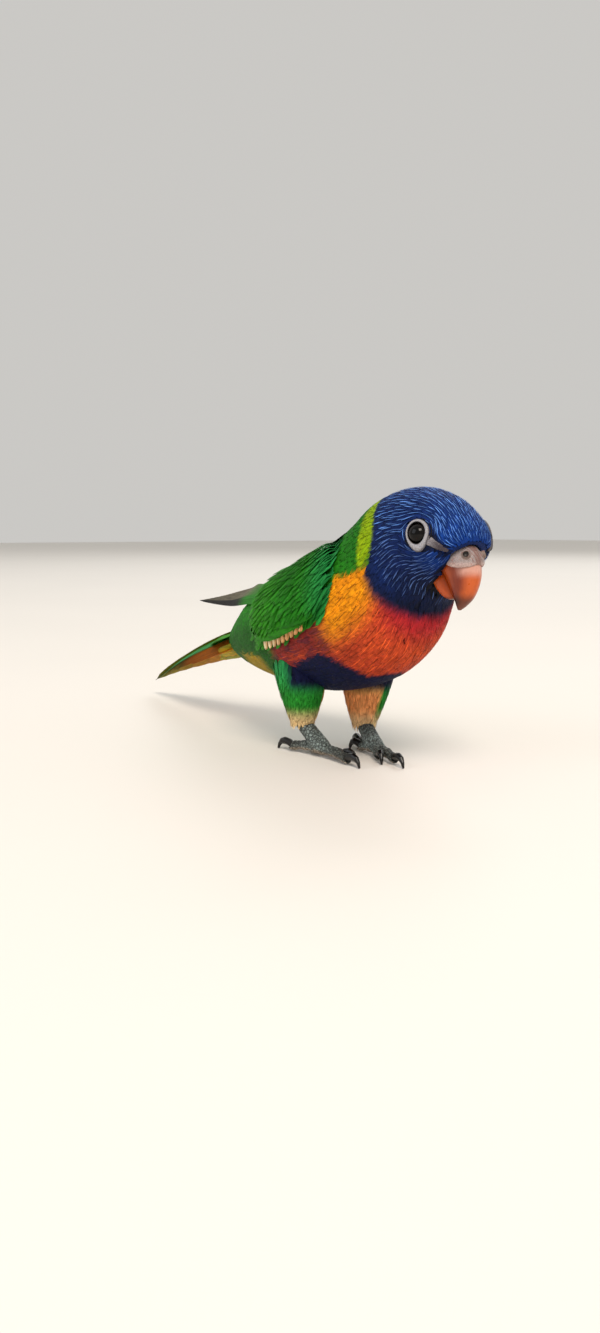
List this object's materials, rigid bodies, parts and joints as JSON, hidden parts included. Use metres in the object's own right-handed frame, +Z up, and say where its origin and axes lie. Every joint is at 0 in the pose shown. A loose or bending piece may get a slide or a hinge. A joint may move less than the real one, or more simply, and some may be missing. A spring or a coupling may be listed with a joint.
{
  "type": "parrot figure",
  "caption": "Life-size still model of a young rainbow lorikeet that walks with its wings folded, head bent down and bill slightly parted, standing on two feet.",
  "frame": {"origin": "on the floor, under the middle of the whole bird's box", "axes": "+X the way the bird faces, +Y its left side, +Z up; the claws and toe pads rest on Z = 0"},
  "size_m": [0.2204, 0.0586, 0.0935],
  "materials": {
    "blue_plumage": "matt feathers with fine pale shaft streaks",
    "collar_plumage": "matt feathers",
    "breast_plumage": "matt feathers with dark edges",
    "thigh_plumage": "short soft feathers",
    "wing_plumage": "smooth overlapping vanes with a slight sheen",
    "tail_plumage": "smooth overlapping vanes with a slight sheen",
    "scaled_skin": "scaly skin, matt",
    "claw": "horn, smooth and slightly glossy",
    "cere": "bare skin, satin",
    "bill": "horn, glossy",
    "eye": "wet and glossy"
  },
  "bodies": {
    "root": {"head": "blue_plumage", "eye_l": "eye", "eye_r": "eye", "cere": "cere", "bill_upper": "bill", "bill_lower": "bill", "neck": "collar_plumage", "torso": "breast_plumage", "tail": "tail_plumage", "wing_l": "wing_plumage", "wing_r": "wing_plumage", "thigh_l": "thigh_plumage", "thigh_r": "thigh_plumage", "foot_l": "scaled_skin", "foot_r": "scaled_skin", "claw_l_1": "claw", "claw_l_2": "claw", "claw_l_3": "claw", "claw_l_4": "claw", "claw_r_1": "claw", "claw_r_2": "claw", "claw_r_3": "claw", "claw_r_4": "claw"}
  },
  "joints": []
}
